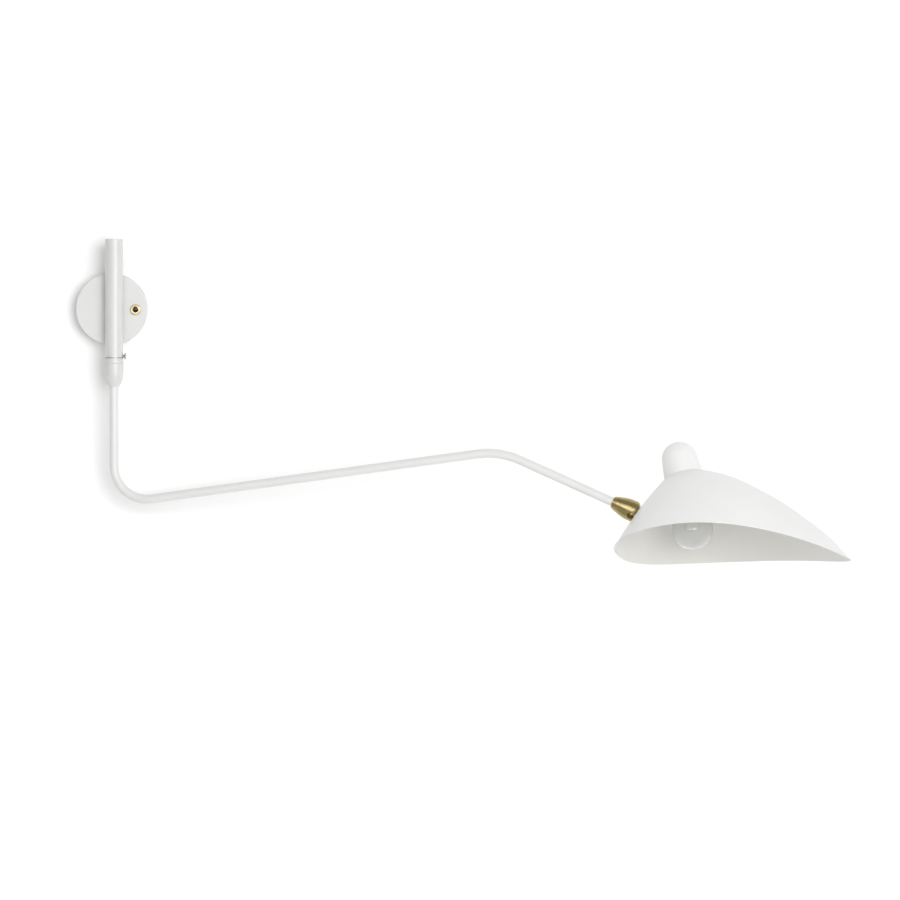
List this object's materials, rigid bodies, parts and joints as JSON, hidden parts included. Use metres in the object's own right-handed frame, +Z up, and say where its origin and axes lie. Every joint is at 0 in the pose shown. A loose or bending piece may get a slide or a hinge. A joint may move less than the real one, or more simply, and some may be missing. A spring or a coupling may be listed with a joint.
{
  "type": "swing arm wall sconce",
  "caption": "Wall lamp with a swinging bent arm, a brass ball knuckle and a pointed dished shade.",
  "frame": {"origin": "centre of the canopy's back rim, on the wall", "axes": "+Y into the wall, +Z up, +X along the wall to the right seen from the room"},
  "size_m": [1.088, 0.3263, 0.4605],
  "materials": {
    "white_enamel": "satin white enamel on steel",
    "white_enamel_shade": "satin white enamel on spun aluminium",
    "satin_brass": "turned, brushed along its length and lacquered",
    "polished_brass": "polished",
    "dark_chrome": "black nickel",
    "burnished_steel": "burnished",
    "zinc_steel": "zinc plated",
    "green_screw": "green earth screw",
    "black_moulding": "moulded",
    "acetal": "plain",
    "wire_sleeve": "braided sleeve",
    "socket_moulding": "glazed",
    "bulb_metal": "bright",
    "clear_glass": "clear",
    "filament": "drawn wire"
  },
  "bodies": {
    "wall_mount": {"canopy_shell": "white_enamel", "mounting_bracket": "zinc_steel", "canopy_side_screws": "zinc_steel", "ground_screw": "green_screw", "stem_tube": "white_enamel", "stem_top_plug": "white_enamel", "stem_saddle": "white_enamel", "stem_nipple": "zinc_steel", "nipple_washer": "zinc_steel", "nipple_lock_nut": "zinc_steel", "toggle_body": "black_moulding", "toggle_terminals": "zinc_steel", "toggle_bushing": "polished_brass", "toggle_back_nut": "zinc_steel", "toggle_dress_nut": "polished_brass", "swivel_bush": "acetal", "friction_washer": "polished_brass", "stem_wire": "wire_sleeve", "wire_connectors": "black_moulding", "canopy_leads": "wire_sleeve"},
    "toggle": {"toggle_lever": "dark_chrome"},
    "lock": {"lock_screw": "burnished_steel"},
    "arm": {"swivel_collar": "white_enamel", "swivel_cone": "white_enamel", "swivel_spindle": "zinc_steel", "swivel_wave_washer": "zinc_steel", "spindle_nut": "zinc_steel", "arm_tube": "white_enamel", "arm_wire": "wire_sleeve", "arm_end_nipple": "zinc_steel", "cup_nut": "zinc_steel"},
    "knuckle": {"cup_rear": "satin_brass", "cup_front": "satin_brass", "pressure_spring": "zinc_steel", "ball_seat": "acetal"},
    "ball": {"swivel_ball": "polished_brass", "ball_stud": "polished_brass", "stud_spring_washer": "zinc_steel", "stud_nut": "zinc_steel"},
    "shade": {"shade_shell": "white_enamel_shade", "stud_outer_washer": "white_enamel_shade", "stud_inner_washer": "zinc_steel", "socket_bracket": "zinc_steel", "bracket_screw": "zinc_steel", "socket_cap": "socket_moulding", "socket_body": "socket_moulding", "socket_screw_shell": "polished_brass", "socket_contact": "polished_brass", "socket_wires": "wire_sleeve", "bulb_base": "bulb_metal", "bulb_glass": "clear_glass", "bulb_stem": "clear_glass", "bulb_filament": "filament"}
  },
  "joints": [
    {"name": "toggle_flip", "type": "hinge", "parent": "wall_mount", "child": "toggle", "pos_m": [0.0345, -0.0226, -0.0015], "axis": [1, 0, 0], "range_deg": [0, 16]},
    {"name": "lock_turn", "type": "hinge", "parent": "wall_mount", "child": "lock", "pos_m": [0.0046, -0.0395, -0.0678], "axis": [1, 0, 0], "range_deg": [0, 270]},
    {"name": "arm_swing", "type": "hinge", "parent": "wall_mount", "child": "arm", "pos_m": [0.0046, -0.0395, -0.0702], "axis": [0, 0, -1], "range_deg": [-4, 160]},
    {"name": "cup_turn", "type": "hinge", "parent": "arm", "child": "knuckle", "pos_m": [0.70962, -0.16381, -0.2738], "axis": [0.8996, -0.1586, -0.407], "range_deg": [-90, 90]},
    {"name": "ball_tilt", "type": "hinge", "parent": "knuckle", "child": "ball", "pos_m": [0.73688, -0.16862, -0.28613], "axis": [-0.2664, 0.5392, -0.7989], "range_deg": [-32, 20]},
    {"name": "shade_spin", "type": "hinge", "parent": "ball", "child": "shade", "pos_m": [0.73688, -0.16862, -0.28613], "axis": [0.8093, -0.3251, -0.4892], "range_deg": [-120, 120]}
  ]
}
